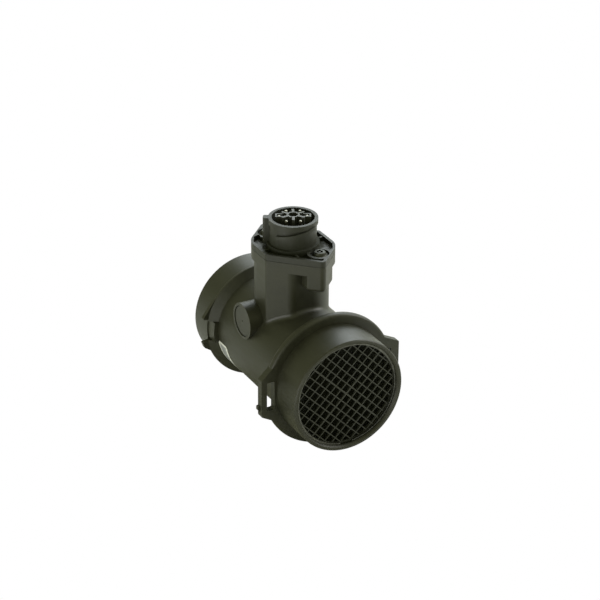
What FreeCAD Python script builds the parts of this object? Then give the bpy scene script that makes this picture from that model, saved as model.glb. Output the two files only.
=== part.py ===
import FreeCAD, Part
import math
import os

from FreeCAD import Vector

# Mass airflow sensor in millimetres. The origin is on the axis of the air tube, where the inlet
# flange seats. Air flows along +Y, the tower and its connector stand along +Z, and the round side
# boss looks along -X. The sizes below count Y from the inlet rim; place() moves it to the origin.

# Rounds of turned pieces below this size are cut straight
small_round = 1.0

# Fits
clearance = 0.15
pin_clearance = 0.05
seal_clearance = 0.05

# Air tube
tube_length = 130.7
bore_radius = 30.0
tube_wall = 2.6
seat_ledge = 3.0
hose_wall = 3.0
inlet_collar_length = 22.7
outlet_collar_length = 19.2
bell_length = 18.0
rim_round = 0.9
flange_height = 6.3
flange_thickness = 4.6
flange_round = 1.6
flange_round_steps = 3
flange_fillet_length = 5.6
ridge_height = 1.8
ridge_width = 1.6
step_length = 4.0

# Clip lugs of the front flange and clip ears of the rear ridge
right_lug_reach = 11.2
left_lug_reach = 9.6
lug_top = 20.0
lug_shoulder = 13.8
lug_hip = 10.0
lug_bottom = 20.5
lug_nub = 1.2
lug_slot_width = 5.0
lug_slot_height = 18.8
lug_slot_rise = 1.2
lug_slot_inset = 1.0
ear_thickness = 2.6
ear_reach = 5.0
ear_gap_top = 7.2
ear_gap_bottom = -6.0
ear_pad_length = 4.9
ear_pad_step = 0.5

# Inlet grille
grille_recess = 3.0
grille_depth = 4.0
grille_pitch = 4.95
grille_rib = 0.65
grille_cross_rib = 0.95
grille_rib_depth = 1.5
grille_rim = 1.2
snap_ring_wire = 0.9
snap_groove_depth = 0.7
snap_ring_gap = 8.0

# Tower
tower_y = 69.0
tower_half_width = 22.0
tower_half_depth = 18.6
tower_wall = 2.6
tower_top = 66.0
tower_flange = 6.5
tower_foot_round = 3.0
tower_round_right = 18.4
tower_round_left = 14.0
tower_edge_round = 2.4
tower_front_round = 7.0
cavity_floor = 37.0
nose_x = 3.6
nose_round = 3.0
shoulder_round = 14.0
screw_outside_tower = 1.4
screw_beside_nose = 3.4
screw_behind_nose = 12.6
post_left = -4.0
post_right = 15.6
post_height = 9.7
post_round = 1.8

# Cover and bayonet shell
seam = 0.2
gasket_width = 1.2
gasket_depth = 2.0
spigot_depth = 3.6
spigot_wall = 1.6
cover_thickness = 3.8
cover_rim = 1.9
cover_recess = 2.5
screw_pad_radius = 7.6
pocket_depth = 2.6
shell_radius = 14.1
shell_wall = 1.3
shell_height = 16.8
shell_floor = 2.0
shell_base_height = 1.4
shell_base_width = 1.7
shell_lip_height = 3.2
shell_lip_width = 0.8
ramp_width = 1.6
ramp_height = 2.4
ramp_pitch = 19.0
ramp_start = 7.4
ramp_turn = 0.27
ramp_angle = 200.0
ramp_count = 2
key_rib_angle = 146.0
key_rib_reach = 3.9
key_rib_width = 4.6
key_rib_drop = 0.6

# Connector insert and contacts
insert_base = 4.0
insert_rise = 1.6
core_radius = 4.1
core_wall = 1.0
arm_width = 1.6
arm_reach = 7.7
pin_count = 6
pin_circle = 8.3
pin_radius = 0.95
pin_first_angle = -87.0
pin_tip_drop = 0.7
shroud_size = 4.6
shroud_wall = 0.9

# Screws
screw_shank = 2.4
screw_flange = 5.6
screw_flange_thickness = 1.2
screw_head = 3.3
screw_head_rise = 2.4
screw_depth = 15.0
socket_radius = 2.3
socket_depth = 1.6
socket_pin = 0.7

# Sensing module
carrier_plate = 3.0
neck_share = 0.5
neck_margin = 1.0
neck_seal_section = 1.6
neck_seal_drop = 2.4
duct_width = 10.0
duct_dip = 9.0
channel_radius = 3.4
film_thickness = 0.6
film_width = 4.0
film_dip = 2.0
film_rise = 8.0
lead_thickness = 0.3
window_height = 8.0
window_length = 5.2
window_bottom = 12.0
bead_radius = 1.1
bead_wire = 0.35
carrier_screw_margin = 4.4
carrier_screw_radius = 1.2
carrier_screw_head = 2.4
carrier_screw_depth = 5.0
post_radius = 2.3
post_inset = 3.5
post_share = 0.7
board_lift = 12.0
board_thickness = 1.6
board_inset = 1.6
chip_size = 7.0
chip_height = 1.6
capacitor_radius = 2.2
capacitor_height = 4.5

# Side boss
boss_y = 76.0
boss_z = 21.6
boss_radius = 11.3
boss_face = 31.0
plug_radius = 9.5
plug_depth = 3.0
plug_seal_section = 1.2
plug_sink = 0.4

# Values that follow from the sizes above
tube_radius = bore_radius + tube_wall
mouth_radius = bore_radius + seat_ledge
hose_radius = mouth_radius + hose_wall
flange_radius = hose_radius + flange_height
ridge_radius = hose_radius + ridge_height
grille_seat = grille_recess + grille_depth
ridge_start = tube_length - outlet_collar_length - ridge_width
ear_pad_radius = hose_radius - ear_pad_step
screw_x = nose_x + screw_beside_nose
screw_y = -(tower_half_depth + screw_outside_tower)
nose_y = screw_y - screw_behind_nose
shoulder_y = nose_y + tower_half_width - nose_x
tower_half_flat = -(nose_y + nose_x + tower_half_width)
tower_chamfer = tower_half_depth - tower_half_flat
cover_bottom = tower_top + seam
cover_top = cover_bottom + cover_thickness
shell_bottom = cover_top + shell_floor
rim_z = cover_top + shell_height
carrier_top = cavity_floor + carrier_plate
neck_radius = tower_half_width * neck_share
duct_length = (neck_radius - neck_margin) * 2
carrier_screw_x = tower_half_width - tower_wall - carrier_screw_margin
post_x = carrier_screw_x - post_inset
post_y = post_x * post_share
board_bottom = carrier_top + board_lift
board_top = board_bottom + board_thickness
pin_angles = [pin_first_angle + 360.0 / pin_count * i for i in range(pin_count)]
shroud_angles = (pin_angles[1], pin_angles[4])


def outline(corners, straight_below=0.0):
    """Closed wire from corners given as x, y and radius; smaller rounds become straight cuts."""
    points = [Vector(x, y, 0) for x, y, radius in corners]
    count = len(points)
    turns = []
    for i in range(count):
        radius = corners[i][2]
        if radius == 0:
            turns.append((points[i], None, points[i]))
            continue
        back = (points[i - 1] - points[i]).normalize()
        ahead = (points[(i + 1) % count] - points[i]).normalize()
        half = back.getAngle(ahead) / 2
        if radius < straight_below:
            cut = radius * 0.66
            turns.append((points[i] + back * cut, None, points[i] + ahead * cut))
            continue
        inward = (back + ahead).normalize()
        reach = radius / math.tan(half)
        middle = points[i] + inward * (radius / math.sin(half) - radius)
        turns.append((points[i] + back * reach, middle, points[i] + ahead * reach))
    edges = []
    for i in range(count):
        start, middle, end = turns[i]
        if middle is not None:
            edges.append(Part.Arc(start, middle, end).toShape())
        elif (end - start).Length > 1e-6:
            edges.append(Part.LineSegment(start, end).toShape())
        following = turns[(i + 1) % count][0]
        if (following - end).Length > 1e-6:
            edges.append(Part.LineSegment(end, following).toShape())
    return Part.Wire(edges)


def prism(wire, bottom, top):
    """Extrude a wire of the XY plane between two heights."""
    face = Part.Face(wire)
    face.translate(Vector(0, 0, bottom))
    return face.extrude(Vector(0, 0, top - bottom))


def slab(corners, start, thickness):
    """Extrude an outline given in X and Z along Y."""
    face = Part.Face(outline(corners))
    face.rotate(Vector(0, 0, 0), Vector(1, 0, 0), 90)
    face.translate(Vector(0, start, 0))
    return face.extrude(Vector(0, thickness, 0))


def turned(corners, axis):
    """Revolve a half section, given as radius and distance along Y, round Y or up Z."""
    face = Part.Face(outline(corners, small_round))
    solid = face.revolve(Vector(0, 0, 0), Vector(0, 1, 0), 360)
    if axis == "z":
        solid.rotate(Vector(0, 0, 0), Vector(1, 0, 0), 90)
    return solid


def rod(radius, bottom, top, x=0.0, y=0.0):
    """Upright round rod between two heights."""
    return Part.makeCylinder(radius, top - bottom, Vector(x, y, bottom))


def bar(width, depth, bottom, top, x=0.0, y=0.0):
    """Upright rectangular bar centred on x and y."""
    corner = Vector(x - width / 2, y - depth / 2, bottom)
    return Part.makeBox(width, depth, top - bottom, corner)


def half_turn(shape):
    """The shape turned by half a turn about the tower axis."""
    other = shape.copy()
    other.rotate(Vector(0, 0, 0), Vector(0, 0, 1), 180)
    return other


def across(shape):
    """The shape turned by half a turn about the tube axis."""
    other = shape.copy()
    other.rotate(Vector(0, 0, 0), Vector(0, 1, 0), 180)
    return other


def mirrored(shape):
    """The shape mirrored to the other side of the tube."""
    return shape.mirror(Vector(0, 0, 0), Vector(1, 0, 0))


def to_tower(shape):
    """Move a shape drawn about the tower axis to its place along the tube."""
    shape.translate(Vector(0, tower_y, 0))
    return shape


def place(shape):
    """Move a finished piece so that the seat of the inlet flange is at the origin."""
    shape.translate(Vector(0, -inlet_collar_length, 0))


def on_circle(radius, angle):
    """Point of a circle about the tower axis."""
    turn = math.radians(angle)
    return radius * math.cos(turn), radius * math.sin(turn)


# Air tube

def flange_edge(face, inward):
    """Corner of the flange's rim as a few flats, listed outwards from the face at one height."""
    middle = flange_radius - flange_round
    points = []
    for i in range(flange_round_steps + 1):
        turn = math.radians(90.0 * i / flange_round_steps)
        points.append((middle + flange_round * math.sin(turn),
                       face + inward * flange_round * (1 - math.cos(turn)), 0))
    return points


def tube_outer():
    """Collars, flange, tapered neck and rear ridge as one turned blank."""
    neck = inlet_collar_length + flange_thickness
    return turned([
        (0, 0, 0),
        (hose_radius, 0, rim_round),
        (hose_radius, inlet_collar_length, 0),
    ] + flange_edge(inlet_collar_length, 1) + flange_edge(neck, -1)[::-1] + [
        (tube_radius + flange_fillet_length / 2, neck, 0.8),
        (tube_radius, neck + flange_fillet_length, 4.0),
        (tube_radius, ridge_start - step_length, 0),
        (ridge_radius, ridge_start, 0),
        (ridge_radius, ridge_start + ridge_width, 0.5),
        (hose_radius, ridge_start + ridge_width * 2, 0.8),
        (hose_radius, tube_length, rim_round),
        (0, tube_length, 0),
    ], "y")


def tube_bore():
    """Mouth, grille seat, bell, bore and flared outlet."""
    bell_radius = bore_radius + seat_ledge / 2
    return turned([
        (0, -1, 0),
        (mouth_radius + 1.0, -1, 0),
        (mouth_radius + 1.0, 0, 0),
        (mouth_radius, 1.0, 0.6),
        (mouth_radius, grille_seat, 0),
        (bell_radius, grille_seat, 0),
        (bore_radius, grille_seat + bell_length, 6.0),
        (bore_radius, tube_length - bell_length, 6.0),
        (mouth_radius, tube_length - 2.0, 2.0),
        (mouth_radius, tube_length + 1, 0),
        (0, tube_length + 1, 0),
    ], "y")


def snap_groove():
    """Groove for the snap ring in the mouth wall, just before the grille."""
    front = grille_recess - clearance - snap_ring_wire - clearance
    ring = Part.makeCylinder(mouth_radius + snap_groove_depth, grille_recess - front,
                             Vector(0, front, 0), Vector(0, 1, 0))
    core = Part.makeCylinder(mouth_radius - 1, grille_recess - front,
                             Vector(0, front, 0), Vector(0, 1, 0))
    return ring.cut(core)


def clip_lug(reach):
    """Slotted clip lug at the right of the front flange, and its slot."""
    outer = hose_radius + reach
    root = hose_radius - hose_wall / 2
    body = slab([
        (root, -lug_bottom, 0),
        (outer, -lug_hip, 1.5),
        (outer, lug_shoulder, 1.0),
        (root, lug_top, 0),
    ], inlet_collar_length, flange_thickness)
    nub = slab([
        (outer - 1.0, lug_shoulder - 6.8, 0),
        (outer + lug_nub, lug_shoulder - 6.3, 0.4),
        (outer + lug_nub, lug_shoulder - 4.0, 0.4),
        (outer - 1.0, lug_shoulder - 1.4, 0),
    ], inlet_collar_length + flange_thickness / 2, flange_thickness / 2)
    slot_left = hose_radius + lug_slot_inset
    slot = slab([
        (slot_left, lug_slot_rise - lug_slot_height / 2, 1.0),
        (slot_left + lug_slot_width, lug_slot_rise - lug_slot_height / 2, 1.0),
        (slot_left + lug_slot_width, lug_slot_rise + lug_slot_height / 2, 1.0),
        (slot_left, lug_slot_rise + lug_slot_height / 2, 1.0),
    ], inlet_collar_length - 1, flange_thickness + 2)
    return body.fuse(nub), slot


def clip_ears():
    """Two pointed clip ears at the right of the rear ridge."""
    root = hose_radius - hose_wall
    tip = hose_radius + ear_reach
    upper = slab([
        (root - 1.0, 20.8, 0),
        (tip - 0.5, 8.8, 0.5),
        (root, 7.0, 0),
        (root - 4.0, 9.0, 0),
    ], ridge_start, ear_thickness)
    lower = slab([
        (root - 2.0, -5.6, 0),
        (tip, -7.0, 0.5),
        (tip - 1.5, -11.0, 0.8),
        (root, -15.2, 0),
        (root - 3.0, -14.0, 0),
    ], ridge_start, ear_thickness)
    return upper.fuse(lower)


def ear_gap(radius, start, end):
    """Part of a cylinder round the tube axis between the two clip ears at the right."""
    block = Part.makeBox(radius, end - start, ear_gap_top - ear_gap_bottom,
                         Vector(tube_radius * 0.7, start, ear_gap_bottom))
    return block.common(Part.makeCylinder(radius, end - start, Vector(0, start, 0), Vector(0, 1, 0)))


def ear_seat():
    """Pad a step under the collar's round between the ears, and the gap cut in the ridge."""
    end = ridge_start + ridge_width * 2
    pad = ear_gap(ear_pad_radius, ridge_start - ear_pad_length, end)
    gap = ear_gap(ridge_radius + 1, ridge_start - step_length, end).cut(
        Part.makeCylinder(ear_pad_radius, tube_length, Vector(0, 0, 0), Vector(0, 1, 0)))
    return pad, gap


# Tower

def tower_wire(inset):
    """Plan of the tower body, moved inwards by the inset."""
    wire = outline([
        (-tower_half_width, -tower_half_flat, tower_edge_round),
        (-tower_half_width + tower_chamfer, -tower_half_depth, tower_front_round),
        (tower_half_width, -tower_half_depth, tower_round_right),
        (tower_half_width, tower_half_flat, tower_edge_round),
        (tower_half_width - tower_chamfer, tower_half_depth, tower_front_round),
        (-tower_half_width, tower_half_depth, tower_round_left),
    ])
    if inset == 0:
        return wire
    return wire.makeOffset2D(-inset)


def cover_corners():
    """Half of the cover's plan: the straight edge, the nose and the round shoulder."""
    return [
        (-tower_half_width, -tower_half_flat, tower_edge_round),
        (nose_x, nose_y, nose_round),
        (tower_half_width, shoulder_y, shoulder_round),
    ]


def cover_wire():
    """Plan of the cover and of the tower flange under it, the same after half a turn."""
    half = cover_corners()
    return outline(half + [(-x, -y, radius) for x, y, radius in half])


def screw_post():
    """Post under the flange that takes a cover screw, flush with the cover's edge."""
    foot = tower_top - tower_flange - post_height
    solid = prism(outline([
        (post_left, -tower_half_depth + tower_wall, 0),
        (post_left, nose_y + nose_x - post_left, 1.2),
        (nose_x, nose_y, nose_round),
        (post_right, nose_y + post_right - nose_x, 3.0),
        (post_right, -tower_half_depth + tower_wall * 2, 0),
    ]), foot, tower_top - tower_flange)
    low = [e for e in solid.Edges
           if e.BoundBox.ZMax < foot + 0.01 and e.BoundBox.YMin < -tower_half_depth - 1]
    return solid.makeFillet(post_round, low)


def tower_foot(edge):
    """Whether an edge is where the tower body meets the round of the tube."""
    box = edge.BoundBox
    low = tube_radius - tower_half_width
    return box.ZMin > low and box.ZMax < tube_radius + 0.01 and box.XMax - box.XMin < tower_half_width * 2


def tower_outer():
    """Tower body, its flange and the two screw posts."""
    flange = prism(cover_wire(), tower_top - tower_flange, tower_top)
    post = screw_post()
    return to_tower(flange.fuse([post, half_turn(post)]))


def blank():
    """Turned tube with the tower body standing on it, rounded where the two meet."""
    body = to_tower(prism(tower_wire(0), 0, tower_top - tower_flange / 2))
    solid = tube_outer().fuse(body)
    seam_edges = [e for e in solid.Edges if tower_foot(e)]
    return solid.makeFillet(tower_foot_round, seam_edges)


def tower_hollow():
    """Electronics cavity, gasket rebate, neck hole and the screw holes."""
    cavity = prism(tower_wire(tower_wall), cavity_floor, tower_top + 1)
    rebate = prism(tower_wire(tower_wall - gasket_width), tower_top - gasket_depth, tower_top + 1)
    neck = rod(neck_radius + clearance, bore_radius * 0.7, cavity_floor + 1)
    hole = rod(screw_shank + pin_clearance, tower_top - screw_depth, tower_top + 1, screw_x, screw_y)
    pilot = rod(carrier_screw_radius + pin_clearance, cavity_floor - carrier_screw_depth - 0.5,
                cavity_floor + 1, carrier_screw_x, 0)
    tools = [rebate, neck, hole, half_turn(hole), pilot, half_turn(pilot)]
    return to_tower(cavity.fuse(tools))


def side_boss():
    """Round boss at the left of the tube."""
    solid = Part.makeCylinder(boss_radius, boss_face, Vector(-boss_face, boss_y, boss_z),
                              Vector(1, 0, 0))
    return solid


def side_bore():
    """Blind bore of the side boss."""
    return Part.makeCylinder(plug_radius + clearance, plug_depth + 1,
                             Vector(-boss_face - 1, boss_y, boss_z), Vector(1, 0, 0))


def housing():
    """Tube, flanges, lugs, ears, tower and side boss as one moulding."""
    right_lug, slot = clip_lug(right_lug_reach)
    left_lug = across(clip_lug(left_lug_reach)[0])
    ears = clip_ears()
    pad, gap = ear_seat()
    solid = blank().cut([gap, mirrored(gap)])
    solid = solid.fuse([right_lug, left_lug, pad, mirrored(pad), ears, mirrored(ears),
                        tower_outer(), side_boss()])
    solid = solid.cut(tube_bore())
    solid = solid.cut([slot, across(slot), snap_groove(), tower_hollow(), side_bore()])
    return solid.removeSplitter()


# Inlet

def inlet_grille():
    """Square lattice set at 45 degrees in a rim that seats on the ledge of the mouth."""
    radius = mouth_radius - clearance
    blank = Part.makeCylinder(radius, grille_depth, Vector(0, grille_recess, 0), Vector(0, 1, 0))
    opening = Part.makeCylinder(radius - grille_rim, grille_depth + 2,
                                Vector(0, grille_recess - 1, 0), Vector(0, 1, 0))
    ribs = []
    reach = int(radius / grille_pitch)
    for i in range(-reach, reach + 1):
        width = grille_cross_rib if i == 0 else grille_rib
        rib = Part.makeBox(width, grille_rib_depth, radius * 2,
                           Vector(i * grille_pitch - width / 2, grille_recess, -radius))
        crossing = rib.copy()
        rib.rotate(Vector(0, 0, 0), Vector(0, 1, 0), 45)
        crossing.rotate(Vector(0, 0, 0), Vector(0, 1, 0), -45)
        ribs += [rib, crossing]
    lattice = ribs[0].fuse(ribs[1:]).common(opening)
    return blank.cut(opening).fuse(lattice).removeSplitter()


def grille_snap_ring():
    """Open wire ring that holds the grille, sprung into its groove."""
    front = grille_recess - clearance - snap_ring_wire
    outer = Part.makeCylinder(mouth_radius + snap_groove_depth - clearance, snap_ring_wire,
                              Vector(0, front, 0), Vector(0, 1, 0))
    inner = Part.makeCylinder(mouth_radius - grille_rim + clearance, snap_ring_wire + 2,
                              Vector(0, front - 1, 0), Vector(0, 1, 0))
    gap = Part.makeBox(snap_ring_gap, snap_ring_wire + 2, mouth_radius,
                       Vector(-snap_ring_gap / 2, front - 1, -mouth_radius - snap_groove_depth))
    return outer.cut([inner, gap])


# Cover

def cover_plate():
    """Plate with a raised rim, screw pads, pockets beside the screws and a spigot below."""
    plate = prism(cover_wire(), cover_bottom, cover_top)
    inner = prism(cover_wire().makeOffset2D(-cover_rim), cover_top - cover_recess, cover_top + 1)
    pad = rod(screw_pad_radius, cover_bottom, cover_top + 2, screw_x, screw_y)
    base = rod(shell_radius + shell_base_width, cover_bottom, cover_top + 2)
    rib = bar(1.4, tower_half_depth * 2, cover_bottom, cover_top - 0.5, -6.0)
    brace = bar(tower_half_width * 2, 1.4, cover_bottom, cover_top - 0.5, 0, 0)
    inner = inner.cut([pad, half_turn(pad), base, rib, half_turn(rib), brace])
    spigot = prism(tower_wire(tower_wall + clearance), cover_bottom - spigot_depth, cover_bottom)
    hollow = prism(tower_wire(tower_wall + clearance + spigot_wall),
                   cover_bottom - spigot_depth - 1, cover_bottom)
    return plate.cut(inner).fuse(spigot.cut(hollow))


def screw_pocket():
    """Three-cornered pocket in the cover beside a screw."""
    wall = cover_rim * 0.45
    flank_x = screw_x + screw_pad_radius * 1.3
    return prism(outline([
        (screw_x + screw_pad_radius * 0.76, screw_y + 0.6, 0.5),
        (flank_x, flank_x + nose_y - nose_x + wall * 1.5, 0.5),
        (tower_half_width - wall - 0.2, shoulder_y + 3.7, 0.5),
        (screw_x + screw_pad_radius * 0.9, screw_y + 7.4, 0.5),
    ]), cover_top - pocket_depth, cover_top + 1)


def bayonet_ramp(angle):
    """Helical ramp of the bayonet on the outside of the shell."""
    helix = Part.makeHelix(ramp_pitch, ramp_pitch * ramp_turn, shell_radius)
    low = shell_radius - shell_wall / 2
    high = shell_radius + ramp_width
    profile = Part.makePolygon([
        Vector(low, 0, 0),
        Vector(high, 0, 0),
        Vector(high, 0, ramp_height - 0.4),
        Vector(low, 0, ramp_height),
        Vector(low, 0, 0),
    ])
    sweep = Part.Wire(helix.Edges).makePipeShell([profile], True, True)
    sweep.rotate(Vector(0, 0, 0), Vector(0, 0, 1), angle)
    sweep.translate(Vector(0, 0, cover_top + ramp_start))
    return sweep


def shell():
    """Round connector shell with base collar, lip, key rib and bayonet ramps."""
    wall_foot = cover_top - cover_recess
    tube = rod(shell_radius, wall_foot, rim_z)
    base = rod(shell_radius + shell_base_width, wall_foot, cover_top + shell_base_height)
    lip = rod(shell_radius + shell_lip_width, rim_z - shell_lip_height, rim_z)
    reach = shell_radius + key_rib_reach
    rib = prism(outline([
        (shell_radius - shell_wall / 2, -key_rib_width / 2, 0),
        (reach, -key_rib_width / 2, 1.4),
        (reach, key_rib_width / 2, 1.4),
        (shell_radius - shell_wall / 2, key_rib_width / 2, 0),
    ]), cover_top - 0.5, rim_z - key_rib_drop)
    rib.rotate(Vector(0, 0, 0), Vector(0, 0, 1), key_rib_angle)
    ramps = [bayonet_ramp(ramp_angle + 360.0 / ramp_count * i) for i in range(ramp_count)]
    solid = tube.fuse([base, lip, rib] + ramps)
    return solid.cut(rod(shell_radius - shell_wall, shell_bottom, rim_z + 1))


def cover():
    """Cover and connector shell as one moulding, with its screw and contact holes."""
    solid = cover_plate().fuse(shell())
    sink = rod(screw_flange + clearance, cover_top - cover_recess, cover_top + 3, screw_x, screw_y)
    hole = rod(screw_shank + clearance, cover_bottom - 5, cover_top + 1, screw_x, screw_y)
    pocket = screw_pocket()
    tools = [sink, half_turn(sink), hole, half_turn(hole), pocket, half_turn(pocket)]
    for angle in pin_angles:
        x, y = on_circle(pin_circle, angle)
        tools.append(rod(pin_radius + pin_clearance, cover_bottom - 1, shell_bottom + 1, x, y))
    return to_tower(solid.cut(tools).removeSplitter())


def cover_gasket():
    """Flat rubber gasket in the rebate of the tower, pressed by the cover."""
    outer = prism(tower_wire(tower_wall - gasket_width + seal_clearance),
                  tower_top - gasket_depth, cover_bottom)
    inner = prism(tower_wire(tower_wall), tower_top - gasket_depth - 1, cover_bottom + 1)
    return to_tower(outer.cut(inner))


def cover_screw(side):
    """Flanged screw with a star socket and a centre pin."""
    seat = cover_top - cover_recess
    head_foot = seat + screw_flange_thickness
    head_top = head_foot + screw_head_rise
    solid = turned([
        (0, tower_top - screw_depth + 1, 0),
        (screw_shank - 0.8, tower_top - screw_depth + 1, 0),
        (screw_shank, tower_top - screw_depth + 2.6, 0),
        (screw_shank, seat, 0),
        (screw_flange, seat, 0),
        (screw_flange, head_foot, 0.4),
        (screw_head + 0.9, head_foot + 0.5, 0.8),
        (screw_head, head_top, 0.5),
        (0, head_top, 0),
    ], "z")
    star = []
    for i in range(12):
        radius = socket_radius if i % 2 == 0 else socket_radius * 0.72
        x, y = on_circle(radius, 30 * i)
        star.append((x, y, 0.25))
    socket = prism(outline(star), head_top - socket_depth, head_top + 1)
    solid = solid.cut(socket).fuse(rod(socket_pin, head_top - socket_depth - 0.5, head_top - 0.3))
    solid.translate(Vector(screw_x, screw_y, 0))
    if side == "rear":
        solid = half_turn(solid)
    return to_tower(solid)


# Connector insert

def pin_carrier():
    """Insert with a six-sided hollow core, six arms and two keyed pin shrouds."""
    top = rim_z + insert_rise
    floor = shell_bottom + insert_base
    solid = rod(shell_radius - shell_wall - clearance, shell_bottom, floor)
    core = [on_circle(core_radius, 60 * i + pin_first_angle) + (0.4,) for i in range(6)]
    solid = solid.fuse(prism(outline(core), floor, top))
    hollow = [on_circle(core_radius - core_wall, 60 * i + pin_first_angle) + (0.3,)
              for i in range(6)]
    cuts = [prism(outline(hollow), floor + 2, top + 1)]
    for i in range(pin_count):
        angle = pin_angles[i] + 180.0 / pin_count
        arm = bar(arm_reach - core_radius + 1.2, arm_width, floor, top,
                  (arm_reach + core_radius - 1.2) / 2)
        arm.rotate(Vector(0, 0, 0), Vector(0, 0, 1), angle)
        solid = solid.fuse(arm)
    for angle in shroud_angles:
        box = bar(shroud_size, shroud_size, floor, top - 0.4, pin_circle)
        well = bar(shroud_size, shroud_size - shroud_wall * 2, floor, top + 1,
                   pin_circle - shroud_wall)
        wall = box.cut(well)
        wall.rotate(Vector(0, 0, 0), Vector(0, 0, 1), angle)
        solid = solid.fuse(wall)
    for angle in pin_angles:
        x, y = on_circle(pin_circle, angle)
        cuts.append(rod(pin_radius + pin_clearance, shell_bottom - 1, floor + 1, x, y))
    return to_tower(solid.cut(cuts).removeSplitter())


def contact_pin(index):
    """Straight round contact with a rounded tip, from the circuit board to the socket."""
    x, y = on_circle(pin_circle, pin_angles[index])
    tip = rim_z + insert_rise - pin_tip_drop
    solid = turned([
        (0, board_top, 0),
        (pin_radius, board_top, 0),
        (pin_radius, tip, 0.5),
        (0, tip, 0),
    ], "z")
    solid.translate(Vector(x, y, 0))
    return to_tower(solid)


# Sensing module

def duct_wire(width, length):
    """Plan of the hanging duct: a slim body with round nose and tail."""
    half_x, half_y = width / 2, length / 2
    radius = half_x * 0.98
    return outline([(-half_x, -half_y, radius), (half_x, -half_y, radius),
                    (half_x, half_y, radius), (-half_x, half_y, radius)])


def board_posts():
    """The four posts that carry the circuit board."""
    return [rod(post_radius, cavity_floor + carrier_plate / 2, board_bottom, sx * post_x, sy * post_y)
            for sx in (-1, 1) for sy in (-1, 1)]


def bead_place():
    """Distance of the air temperature bead before the tower axis."""
    return duct_length / 2 - window_length / 2 - 1.6


def sensor_carrier():
    """Plate on the cavity floor, sealed neck and a hanging duct with its measuring channel."""
    plate = prism(tower_wire(tower_wall + clearance), cavity_floor, carrier_top)
    neck = rod(neck_radius, bore_radius, cavity_floor + 1)
    duct = prism(duct_wire(duct_width, duct_length), -duct_dip, bore_radius + 1)
    solid = plate.fuse([neck, duct] + board_posts())
    channel = Part.makeCylinder(channel_radius, duct_length + 2,
                                Vector(0, -duct_length / 2 - 1, 0), Vector(0, 1, 0))
    slot = bar(film_thickness + clearance, film_width + clearance, 0, carrier_top + 1)
    window = bar(duct_width + 2, window_length, window_bottom, window_bottom + window_height,
                 0, -bead_place())
    seal = cavity_floor - neck_seal_drop
    groove = rod(neck_radius + 1, seal - neck_seal_section / 2, seal + neck_seal_section / 2)
    groove = groove.cut(rod(neck_radius - neck_seal_section + clearance,
                            seal - neck_seal_section, seal + neck_seal_section))
    tools = [channel, slot, window, groove]
    for side in (-1, 1):
        tools.append(rod(carrier_screw_radius + clearance, cavity_floor - 1, carrier_top + 1,
                         side * carrier_screw_x, 0))
        tools.append(rod(bead_wire + pin_clearance, window_bottom + window_height - 1,
                         carrier_top + 1, side * bead_radius * 0.5, -bead_place()))
    return to_tower(solid.cut(tools).removeSplitter())


def carrier_seal():
    """Rubber ring in the groove of the neck, against the wall of the neck hole."""
    seal = cavity_floor - neck_seal_drop
    inner = neck_radius - neck_seal_section + clearance + seal_clearance
    outer = neck_radius + clearance - seal_clearance
    half = neck_seal_section / 2 - seal_clearance
    return to_tower(turned([
        (inner, seal - half, 0.3),
        (outer, seal - half, 0.5),
        (outer, seal + half, 0.5),
        (inner, seal + half, 0.3),
    ], "z"))


def carrier_screw(side):
    """Small screw that holds the carrier plate to the cavity floor."""
    solid = turned([
        (0, cavity_floor - carrier_screw_depth, 0),
        (carrier_screw_radius, cavity_floor - carrier_screw_depth, 0.5),
        (carrier_screw_radius, carrier_top, 0),
        (carrier_screw_head, carrier_top, 0.3),
        (carrier_screw_head, carrier_top + 1.4, 0.6),
        (0, carrier_top + 1.4, 0),
    ], "z")
    cross = bar(2.6, 0.7, carrier_top + 0.6, carrier_top + 2)
    other = bar(0.7, 2.6, carrier_top + 0.6, carrier_top + 2)
    solid = solid.cut([cross, other])
    solid.translate(Vector(side * carrier_screw_x, 0, 0))
    return to_tower(solid)


def hot_film_element():
    """Thin ceramic plate that hangs across the measuring channel."""
    return to_tower(bar(film_thickness, film_width, -film_dip, film_rise))


def flat_lead():
    """Flat ribbon lead from the hot film plate up to the circuit board."""
    return to_tower(bar(lead_thickness, film_width * 0.8, film_rise, board_bottom))


def air_temperature_sensor():
    """Glass bead on two wire legs in the window of the duct."""
    level = window_bottom + window_height * 0.45
    solid = turned([
        (0, level - bead_radius, 0),
        (bead_radius, level - bead_radius, bead_radius * 0.7),
        (bead_radius, level + bead_radius, bead_radius * 0.3),
        (0, level + bead_radius, 0),
    ], "z")
    solid.translate(Vector(0, -bead_place(), 0))
    legs = [rod(bead_wire, level, board_bottom, side * bead_radius * 0.5, -bead_place())
            for side in (-1, 1)]
    return to_tower(solid.fuse(legs))


def circuit_board():
    """Board on the four posts of the carrier."""
    return to_tower(prism(tower_wire(tower_wall + board_inset), board_bottom, board_top))


def signal_chip():
    """Flat chip package in the middle of the board."""
    solid = bar(chip_size, chip_size, board_top, board_top + chip_height)
    top = [e for e in solid.Edges if e.BoundBox.ZMin > board_top + chip_height - 0.01]
    return to_tower(solid.makeChamfer(0.3, top))


def filter_capacitor():
    """Round capacitor can beside the chip."""
    return to_tower(turned([
        (0, board_top, 0),
        (capacitor_radius, board_top, 0),
        (capacitor_radius, board_top + capacitor_height, 0.5),
        (0, board_top + capacitor_height, 0),
    ], "z").translated(Vector(tower_half_width - tower_wall - board_inset - capacitor_radius - 2, 0, 0)))


# Side boss

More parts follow.
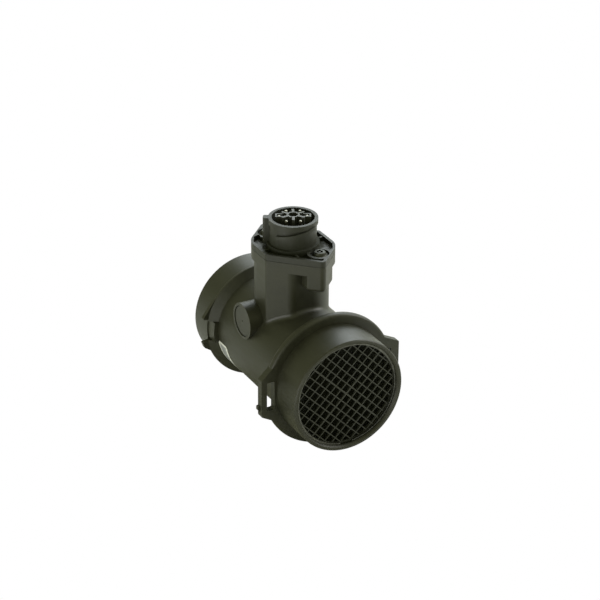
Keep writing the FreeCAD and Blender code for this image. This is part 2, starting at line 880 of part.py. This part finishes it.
def side_plug():
    """Round plug with a seal groove and a centre dimple, sunk in the side boss."""
    face = boss_face - plug_sink
    bottom = boss_face - plug_depth
    middle = (face + bottom) / 2
    half = plug_seal_section / 2
    root = plug_radius - plug_seal_section + clearance
    solid = turned([
        (0, bottom, 0),
        (plug_radius, bottom, 0),
        (plug_radius, middle - half, 0),
        (root, middle - half, 0),
        (root, middle + half, 0),
        (plug_radius, middle + half, 0),
        (plug_radius, face, 0.5),
        (0.8, face, 0.1),
        (0, face - 0.6, 0),
    ], "y")
    solid.rotate(Vector(0, 0, 0), Vector(0, 0, 1), 90)
    solid.translate(Vector(0, boss_y, boss_z))
    return solid


def side_plug_seal():
    """Rubber ring in the groove of the side plug."""
    middle = boss_face - (plug_sink + plug_depth) / 2
    half = plug_seal_section / 2 - seal_clearance
    inner = plug_radius - plug_seal_section + clearance + seal_clearance
    outer = plug_radius + clearance - seal_clearance
    solid = turned([
        (inner, middle - half, 0.2),
        (outer, middle - half, 0.4),
        (outer, middle + half, 0.4),
        (inner, middle + half, 0.2),
    ], "y")
    solid.rotate(Vector(0, 0, 0), Vector(0, 0, 1), 90)
    solid.translate(Vector(0, boss_y, boss_z))
    return solid


nodes = {
    "housing": housing(),
    "inlet_grille": inlet_grille(),
    "grille_snap_ring": grille_snap_ring(),
    "cover": cover(),
    "cover_gasket": cover_gasket(),
    "cover_screw_front": cover_screw("front"),
    "cover_screw_rear": cover_screw("rear"),
    "pin_carrier": pin_carrier(),
    "sensor_carrier": sensor_carrier(),
    "carrier_seal": carrier_seal(),
    "carrier_screw_left": carrier_screw(-1),
    "carrier_screw_right": carrier_screw(1),
    "hot_film_element": hot_film_element(),
    "flat_lead": flat_lead(),
    "air_temperature_sensor": air_temperature_sensor(),
    "circuit_board": circuit_board(),
    "signal_chip": signal_chip(),
    "filter_capacitor": filter_capacitor(),
    "side_plug": side_plug(),
    "side_plug_seal": side_plug_seal(),
}
for number in range(pin_count):
    nodes["contact_pin_%d" % (number + 1)] = contact_pin(number)

os.makedirs("parts", exist_ok=True)
for name, shape in nodes.items():
    place(shape)
    shape.exportStep("parts/" + name + ".step")
    print(name, shape.isValid(), len(shape.Solids), round(shape.Volume, 1))
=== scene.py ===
import bpy
import math
from mathutils import Matrix, Vector


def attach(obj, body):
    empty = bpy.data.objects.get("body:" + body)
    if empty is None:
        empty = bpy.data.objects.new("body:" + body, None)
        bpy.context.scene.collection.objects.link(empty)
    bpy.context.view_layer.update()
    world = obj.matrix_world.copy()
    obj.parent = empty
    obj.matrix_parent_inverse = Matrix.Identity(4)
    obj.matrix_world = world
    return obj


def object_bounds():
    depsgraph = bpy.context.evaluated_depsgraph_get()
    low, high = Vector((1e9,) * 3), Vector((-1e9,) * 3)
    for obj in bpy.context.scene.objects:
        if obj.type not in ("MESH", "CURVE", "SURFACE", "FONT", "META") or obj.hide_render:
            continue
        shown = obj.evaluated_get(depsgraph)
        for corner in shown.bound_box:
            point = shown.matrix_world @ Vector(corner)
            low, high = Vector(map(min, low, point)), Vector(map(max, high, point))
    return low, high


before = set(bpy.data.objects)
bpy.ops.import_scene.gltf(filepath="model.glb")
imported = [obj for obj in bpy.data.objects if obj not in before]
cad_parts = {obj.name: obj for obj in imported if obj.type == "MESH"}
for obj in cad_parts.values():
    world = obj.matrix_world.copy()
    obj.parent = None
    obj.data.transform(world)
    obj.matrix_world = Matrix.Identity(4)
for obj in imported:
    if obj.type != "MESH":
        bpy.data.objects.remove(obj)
cad_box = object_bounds()
MM = 0.001


# Housing: the air tube with its collars, the clip flange, the side boss and the tower, moulded in
# one piece from glass-filled nylon. It is black with a warm cast and a dull mould grain. The wall
# of the air bore has less gloss and is painted one even greenish tone, as painted shade inside the
# tube.

class Wire:
    """One output socket of a skin's nodes. Arithmetic on it adds the Math nodes."""

    def __init__(self, skin, socket):
        self.skin = skin
        self.socket = socket

    def __add__(self, other):
        return self.skin.maths("ADD", self, other)

    def __radd__(self, other):
        return self.skin.maths("ADD", other, self)

    def __sub__(self, other):
        return self.skin.maths("SUBTRACT", self, other)

    def __rsub__(self, other):
        return self.skin.maths("SUBTRACT", other, self)

    def __mul__(self, other):
        return self.skin.maths("MULTIPLY", self, other)

    def __rmul__(self, other):
        return self.skin.maths("MULTIPLY", other, self)

    def rise(self, low, high):
        """0 up to low, 1 from high on, smooth between."""
        return self.skin.node("MapRange", "Result", {"interpolation_type": "SMOOTHSTEP"}, {
            "Value": self, "From Min": low, "From Max": high})

    def tint(self, dark, light):
        """The first colour where this value is 0, the second where it is 1."""
        dark, light = (end if isinstance(end, Wire) else (*end, 1) for end in (dark, light))
        return self.skin.node("Mix", "Result", {"data_type": "RGBA"}, {
            "Factor": self, "A": dark, "B": light})


class Skin:
    """The nodes of one material, or of the world, round its own shader."""

    def __init__(self, owner, **constants):
        owner.use_nodes = True
        self.owner = owner
        self.tree = owner.node_tree
        self.shader = self.tree.nodes.get("Principled BSDF") or self.tree.nodes["Background"]
        for socket, value in constants.items():
            self.shader.inputs[socket.replace("_", " ")].default_value = value

    def node(self, kind, output, settings={}, sockets={}):
        """Any node: its settings are set first, then the values or links of its sockets."""
        added = self.tree.nodes.new("ShaderNode" + kind)
        for name, value in settings.items():
            setattr(added, name, value)
        for name, value in sockets.items():
            if isinstance(value, Wire):
                self.tree.links.new(value.socket, added.inputs[name])
            else:
                added.inputs[name].default_value = value
        return Wire(self, added.outputs[output])

    def maths(self, operation, *values):
        return self.node("Math", "Value", {"operation": operation}, dict(enumerate(values)))

    def place(self, stretch=(1, 1, 1)):
        """The point on the piece, in metres, stretched along the axes."""
        return self.node("Mapping", "Vector", {}, {
            "Vector": self.node("TexCoord", "Object"), "Scale": stretch})

    def noise(self, scale, detail=3.0, stretch=(1, 1, 1)):
        return self.node("TexNoise", "Fac", {}, {
            "Vector": self.place(stretch), "Scale": scale, "Detail": detail, "Roughness": 0.55})

    def cells(self, scale):
        return self.node("TexVoronoi", "Distance", {}, {"Vector": self.place(), "Scale": scale})

    def axis(self, name):
        """One coordinate of the point on the piece, in millimetres."""
        return 1000.0 * self.node("SeparateXYZ", name, {}, {
            "Vector": self.node("TexCoord", "Object")})

    def surface(self, colour, dull, relief, strength, height):
        """Feed the shader its colour, its roughness and a bump of this height in metres."""
        bump = self.node("Bump", "Normal", {}, {
            "Height": relief, "Strength": strength, "Distance": height})
        for name, wire in (("Base Color", colour), ("Roughness", dull), ("Normal", bump)):
            self.tree.links.new(wire.socket, self.shader.inputs[name])


def moulded(name, dark, light, rough, grain=1.0, outside=None, painted_shade=None):
    """Filled black moulding: flow clouds and streaks, pale fibre flecks and a fine mould grain.

    Where outside is given and is 0, the skin has the painted shade colour, standing for the
    shade in a hollow, and less gloss."""
    skin = Skin(bpy.data.materials.new(name))
    clouds = skin.noise(scale=55.0, detail=4.0, stretch=(1.0, 0.35, 1.0))
    streaks = skin.noise(scale=420.0, detail=2.0, stretch=(1.0, 0.18, 1.0))
    flecks = skin.noise(scale=2600.0, detail=1.0).rise(0.62, 0.74)
    mottle = 0.6 * clouds.rise(0.3, 0.7) + 0.25 * streaks.rise(0.35, 0.75) + 0.25 * flecks
    colour = mottle.tint(dark, light)
    dull = 0.14 * clouds + 0.10 * streaks + 0.05 * flecks + (rough - 0.13)
    if outside:
        unshaded_skin = outside(skin)
        colour = unshaded_skin.tint(painted_shade, colour)
        dull = dull + 0.35 * (1 - unshaded_skin)
    relief = 0.6 * skin.cells(scale=1500.0) + 0.5 * skin.noise(scale=900.0) + 0.6 * clouds
    skin.surface(colour, dull, relief, strength=0.16 * grain, height=0.25 * MM)
    return skin


def finish(node, skin):
    """Give a CAD node its finished skin."""
    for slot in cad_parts[node].material_slots:
        slot.material = skin.owner


# Painted shade on the wall of the air bore: inside these radii the housing takes one even greenish
# tone.
bore_shade_to, bore_shade_clear_from = 30.4, 31.6      # mm from the tube's axis


def clear_of_bore_shade(skin):
    """0 where shade is painted, on the wall of the air bore, 1 outside it."""
    across, up = skin.axis("X"), skin.axis("Z")
    return skin.maths("SQRT", across * across + up * up).rise(bore_shade_to, bore_shade_clear_from)


finish("housing", moulded(
    "housing_skin", dark=(0.011, 0.0115, 0.005), light=(0.023, 0.0235, 0.012), rough=0.50,
    outside=clear_of_bore_shade, painted_shade=(0.0150, 0.0170, 0.0085)))


# Side plug: a round cap pressed into the side boss, with a ring groove and a small dimple in its
# face. It is moulded from the same nylon in a smoother tool.

finish("side_plug", moulded(
    "plug_skin", dark=(0.010, 0.0105, 0.006), light=(0.020, 0.021, 0.013), rough=0.50, grain=0.6))


# Inlet grille: a square lattice of thin ribs in its own rim, which evens out the air stream. It is
# moulded nylon without glass and sits on a step in the mouth of the tube.

finish("inlet_grille", moulded(
    "grille_skin", dark=(0.010, 0.011, 0.006), light=(0.020, 0.021, 0.013), rough=0.50, grain=0.6))


# Snap ring: an open ring of blackened spring wire. It springs into a groove of the bore and holds
# the grille against its step.

def worked_metal(name, dark, light, rough, scratch_scale=900.0):
    """Metal with fine scratches across it and uneven tarnish."""
    skin = Skin(bpy.data.materials.new(name), Metallic=1.0)
    scratches = skin.noise(scale=scratch_scale, detail=2.0, stretch=(1.0, 0.06, 1.0))
    tarnish = skin.noise(scale=300.0, detail=4.0)
    colour = (0.7 * tarnish.rise(0.35, 0.7) + 0.3 * scratches).tint(dark, light)
    dull = 0.16 * scratches + 0.14 * tarnish + (rough - 0.15)
    skin.surface(colour, dull, scratches, strength=0.12, height=0.04 * MM)
    return skin


finish("grille_snap_ring", worked_metal(
    "spring_skin", dark=(0.07, 0.07, 0.066), light=(0.15, 0.15, 0.14), rough=0.42))


# Sensor carrier: the plate in the tower with the sealed neck and the duct that hangs in the air
# stream. It is moulded from a slightly paler filled plastic that keeps its size.

finish("sensor_carrier", moulded(
    "carrier_skin", dark=(0.016, 0.019, 0.009), light=(0.028, 0.032, 0.017), rough=0.50,
    grain=0.6))


# Hot film plate, ribbon lead and bead: the sensing parts in the duct. The plate is fired ceramic,
# the lead is amber film, and the air temperature bead is dipped in glass.

def fired(name, dark, light, rough, scale):
    """Fired or glazed surface with slow colour change and fine pits."""
    skin = Skin(bpy.data.materials.new(name))
    body = skin.noise(scale, detail=4.0)
    dull = 0.2 * body + (rough - 0.1)
    pits = skin.noise(scale * 6.0)
    skin.surface(body.rise(0.3, 0.7).tint(dark, light), dull, pits, strength=0.1, height=0.05 * MM)
    return skin


finish("hot_film_element", fired(
    "film_skin", dark=(0.55, 0.54, 0.49), light=(0.78, 0.77, 0.72), rough=0.5, scale=600.0))
finish("flat_lead", fired(
    "lead_skin", dark=(0.30, 0.12, 0.02), light=(0.50, 0.24, 0.06), rough=0.35, scale=250.0))
finish("air_temperature_sensor", fired(
    "bead_skin", dark=(0.20, 0.06, 0.02), light=(0.36, 0.15, 0.05), rough=0.2, scale=900.0))


# Circuit board with its chip and capacitor: glass laminate under green solder resist, through
# which the copper pads show paler. The chip is moulded black and the can is drawn aluminium.

def solder_resist(name):
    """Green resist over a grid of copper pads, with the weave of the laminate below."""
    skin = Skin(bpy.data.materials.new(name))
    pads = (skin.maths("SINE", skin.axis("X")).rise(0.2, 0.5)
            * skin.maths("SINE", 1.7 * skin.axis("Y")).rise(0.3, 0.6))
    weave = skin.noise(scale=700.0, detail=2.0)
    colour = (0.6 * pads + 0.3 * weave).tint((0.008, 0.06, 0.02), (0.03, 0.17, 0.07))
    skin.surface(colour, 0.2 * weave + 0.25, pads, strength=0.3, height=0.04 * MM)
    return skin


finish("circuit_board", solder_resist("board_skin"))
finish("signal_chip", moulded(
    "chip_skin", dark=(0.012, 0.012, 0.012), light=(0.024, 0.024, 0.023), rough=0.5, grain=0.4))
finish("filter_capacitor", worked_metal(
    "can_skin", dark=(0.52, 0.52, 0.54), light=(0.74, 0.74, 0.76), rough=0.30))


# Contacts: six straight round pins of drawn brass, tinned and gone slightly grey, which run from
# the board up into the connector.

contact_skin = worked_metal(
    "contact_skin", dark=(0.15, 0.145, 0.12), light=(0.28, 0.27, 0.235), rough=0.42)
for number in range(1, 7):
    finish("contact_pin_%d" % number, contact_skin)


# Connector insert: a hollow six-sided core with arms and two shrouds, which holds the contacts
# apart. It is moulded from a paler nylon with a satin face and pressed into the shell.

finish("pin_carrier", moulded(
    "insert_skin", dark=(0.024, 0.025, 0.020), light=(0.046, 0.047, 0.040), rough=0.50,
    grain=0.5))


# Gasket and sealing rings: soft black rubber, cut or moulded to shape. They sit under the cover,
# round the carrier's neck and round the side plug, and are pressed tight in fitting.

rubber_skin = Skin(bpy.data.materials.new("rubber_skin"), Specular_IOR_Level=0.35)
bloom = rubber_skin.noise(scale=240.0, detail=5.0)
rubber_skin.surface(
    bloom.rise(0.45, 0.8).tint((0.012, 0.012, 0.012), (0.040, 0.040, 0.039)), 0.2 * bloom + 0.6,
    rubber_skin.noise(scale=3000.0), strength=0.2, height=0.1 * MM)
for name in ("cover_gasket", "carrier_seal", "side_plug_seal"):
    finish(name, rubber_skin)


# Cover: a plate with rim, ribs and screw pads that closes the tower, moulded in one with the round
# connector shell. It is the housing's nylon from a smoother tool, with painted shade in its recess
# and at the foot of the shell.

tower_y = 46.3                                  # mm along the tube, the connector's axis
# Painted shade in the cover's recess: a darker tone near the connector and low on the shell.
recess_shade_to, recess_shade_clear_from = 17.0, 19.5    # mm from the connector's axis
shell_shade_to, shell_shade_clear_from = 70.0, 80.0             # mm above the tube's axis


def clear_of_recess_shade(skin):
    """0 where shade is painted, in the recess of the plate and at the foot of the shell, 1 outside
    them.
    """
    across, along, up = skin.axis("X"), skin.axis("Y") - tower_y, skin.axis("Z")
    away = skin.maths("SQRT", across * across + along * along)
    return skin.maths(
        "MAXIMUM", away.rise(recess_shade_to, recess_shade_clear_from), up.rise(shell_shade_to, shell_shade_clear_from))


finish("cover", moulded(
    "cover_skin", dark=(0.009, 0.010, 0.006), light=(0.019, 0.020, 0.013), rough=0.56, grain=0.8,
    outside=clear_of_recess_shade, painted_shade=(0.0100, 0.0115, 0.0045)))


# Screws: flanged thread-forming screws with a star socket, of black passivated steel with uneven
# paler tarnish and fine scratches. Two hold the cover and two hold the sensor carrier.

screw_skin = worked_metal(
    "screw_skin", dark=(0.030, 0.031, 0.026), light=(0.075, 0.076, 0.066), rough=0.48,
    scratch_scale=1500.0)
for name in ("cover_screw_front", "cover_screw_rear", "carrier_screw_left", "carrier_screw_right"):
    finish(name, screw_skin)


# Label: a small foil sticker with clipped corners, stuck round the low side of the tube. It has a
# plain grey field inside a pale margin, and is modelled as a strip of a thin tube, cut to shape.

label_radius = 32.62 * MM                       # its back, just clear of the tube's skin
label_thickness = 0.10 * MM
label_front, label_back = 71.4 * MM, 82.8 * MM
label_high, label_low = 188.5, 233.0            # degrees round the tube, from +X over +Z
clip_along, clip_round = 1.14 * MM, 1.71 * MM
cuts_per_degree = 2

bpy.ops.object.select_all(action="DESELECT")
bpy.ops.mesh.primitive_cylinder_add(
    vertices=360 * cuts_per_degree, radius=label_radius, depth=label_back - label_front,
    end_fill_type="NOTHING", location=(0, (label_front + label_back) / 2, 0),
    rotation=(math.radians(90), 0, 0))
label = bpy.context.object
label.name = "foil_label"
bpy.ops.object.transform_apply(location=True, rotation=True, scale=True)
bpy.ops.object.mode_set(mode="EDIT")
bpy.ops.mesh.select_mode(type="FACE")
bpy.ops.mesh.select_all(action="DESELECT")
bpy.ops.object.mode_set(mode="OBJECT")
for face in label.data.polygons:
    turn = math.degrees(math.atan2(face.center.z, face.center.x)) % 360
    face.select = not label_high < turn < label_low
bpy.ops.object.mode_set(mode="EDIT")
bpy.ops.mesh.delete(type="FACE")
for turn, way in ((label_high, -1), (label_low, 1)):
    outward = Vector((math.cos(math.radians(turn)), 0, math.sin(math.radians(turn))))
    off_side = Vector((-outward.z, 0, outward.x)) * way
    for y, end in ((label_front, -1), (label_back, 1)):
        off_end = Vector((0, end, 0))
        bpy.ops.mesh.select_all(action="SELECT")
        bpy.ops.mesh.bisect(
            plane_co=outward * label_radius + Vector((0, y, 0)) - off_end * clip_along,
            plane_no=(off_side * clip_along + off_end * clip_round).normalized(),
            clear_outer=True)
bpy.ops.object.mode_set(mode="OBJECT")
bpy.ops.object.modifier_add(type="SOLIDIFY")
label.modifiers[0].thickness = label_thickness
label.modifiers[0].offset = 1.0
bpy.ops.object.modifier_apply(modifier=label.modifiers[0].name)

field_front, field_back = (73.4, 73.7), (81.0, 81.3)    # its soft ends, mm along the tube
field_top = (6.2, 6.6)                                  # mm below the tube's axis

foil_skin = Skin(bpy.data.materials.new("foil_skin"), Specular_IOR_Level=0.6)
crease = foil_skin.noise(scale=500.0)
along, drop = foil_skin.axis("Y"), -1 * foil_skin.axis("Z")
field = along.rise(*field_front) * (1 - along.rise(*field_back)) * drop.rise(*field_top)
foil_skin.surface(
    (0.75 * field + 0.12 * crease).tint((0.72, 0.72, 0.70), (0.13, 0.14, 0.17)),
    0.2 * crease + 0.25, crease, strength=0.15, height=0.08 * MM)
label.data.materials.append(foil_skin.owner)
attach(label, "root")


# Table and room: a broad pale matt board under the part and a soft room round it. The camera sees
# both as plain white, and they keep their own colour for the light that falls on the part.

table_size = 6.0
table_gap = 0.5 * MM
part_middle = 0.04                              # m along the tube


def white_to_camera(skin, white_shader, closing_node):
    """Show plain white to the camera, and the skin's own shader to the light."""
    white = skin.node(white_shader, 0, {}, {"Color": (1, 1, 1, 1), "Strength": 1.0})
    shown = skin.node("MixShader", "Shader", {}, {
        0: skin.node("LightPath", "Is Camera Ray"), 1: Wire(skin, skin.shader.outputs[0]),
        2: white})
    skin.tree.links.new(shown.socket, skin.tree.nodes[closing_node].inputs["Surface"])


bpy.ops.object.select_all(action="DESELECT")
bpy.ops.mesh.primitive_plane_add(
    size=table_size, location=(0, part_middle, cad_box[0][2] - table_gap))
floor = bpy.context.object
floor.name = "floor"
table_skin = Skin(
    bpy.data.materials.new("table_skin"), Base_Color=(0.88, 0.88, 0.86, 1), Roughness=0.9)
white_to_camera(table_skin, "Emission", "Material Output")
floor.data.materials.append(table_skin.owner)

room = Skin(bpy.data.worlds.new("room"), Color=(0.97, 1.0, 0.58, 1), Strength=0.48)
white_to_camera(room, "Background", "World Output")
bpy.context.scene.world = room.owner


# Lamps: three square soft boxes, a large cool one behind and above the part and two smaller
# neutral ones at its sides. All look at the middle of the tube.

lamp_aim = Vector((0, part_middle, 0.02))


def soft_box(name, spot, size, power, colour=(1, 1, 1)):
    data = bpy.data.lights.new(name, "AREA")
    data.size = size
    data.energy = power
    data.color = colour
    lamp = bpy.data.objects.new(name, data)
    bpy.context.scene.collection.objects.link(lamp)
    lamp.location = spot
    lamp.rotation_euler = (lamp_aim - Vector(spot)).to_track_quat("-Z", "Y").to_euler()


soft_box("rear", spot=(0.56, 0.72, 0.68), size=0.8, power=9.0, colour=(0.88, 0.95, 1.0))
soft_box("left", spot=(-0.85, -0.25, 0.07), size=0.2, power=3.0)
soft_box("right", spot=(0.85, -0.10, 0.55), size=0.5, power=6.6)


# Camera: a long lens about 1.25 m away, to the left of the inlet and above it. Its place and
# turns were solved from the round rims and the upright edges of the part.

camera_spot = (-0.54157, -0.95309, 0.61928)
camera_heading, camera_tilt, camera_roll = -28.67, 62.66, 0.30

camera_data = bpy.data.cameras.new("camera")
camera_data.lens = 127.6
camera_data.sensor_width = 36.0
camera_data.clip_end = 20.0
camera = bpy.data.objects.new("camera", camera_data)
bpy.context.scene.collection.objects.link(camera)
camera.matrix_world = (
    Matrix.Translation(camera_spot)
    @ Matrix.Rotation(math.radians(camera_heading), 4, "Z")
    @ Matrix.Rotation(math.radians(camera_tilt), 4, "X")
    @ Matrix.Rotation(math.radians(camera_roll), 4, "Z"))
bpy.context.scene.camera = camera
bpy.context.scene.view_settings.view_transform = "Standard"
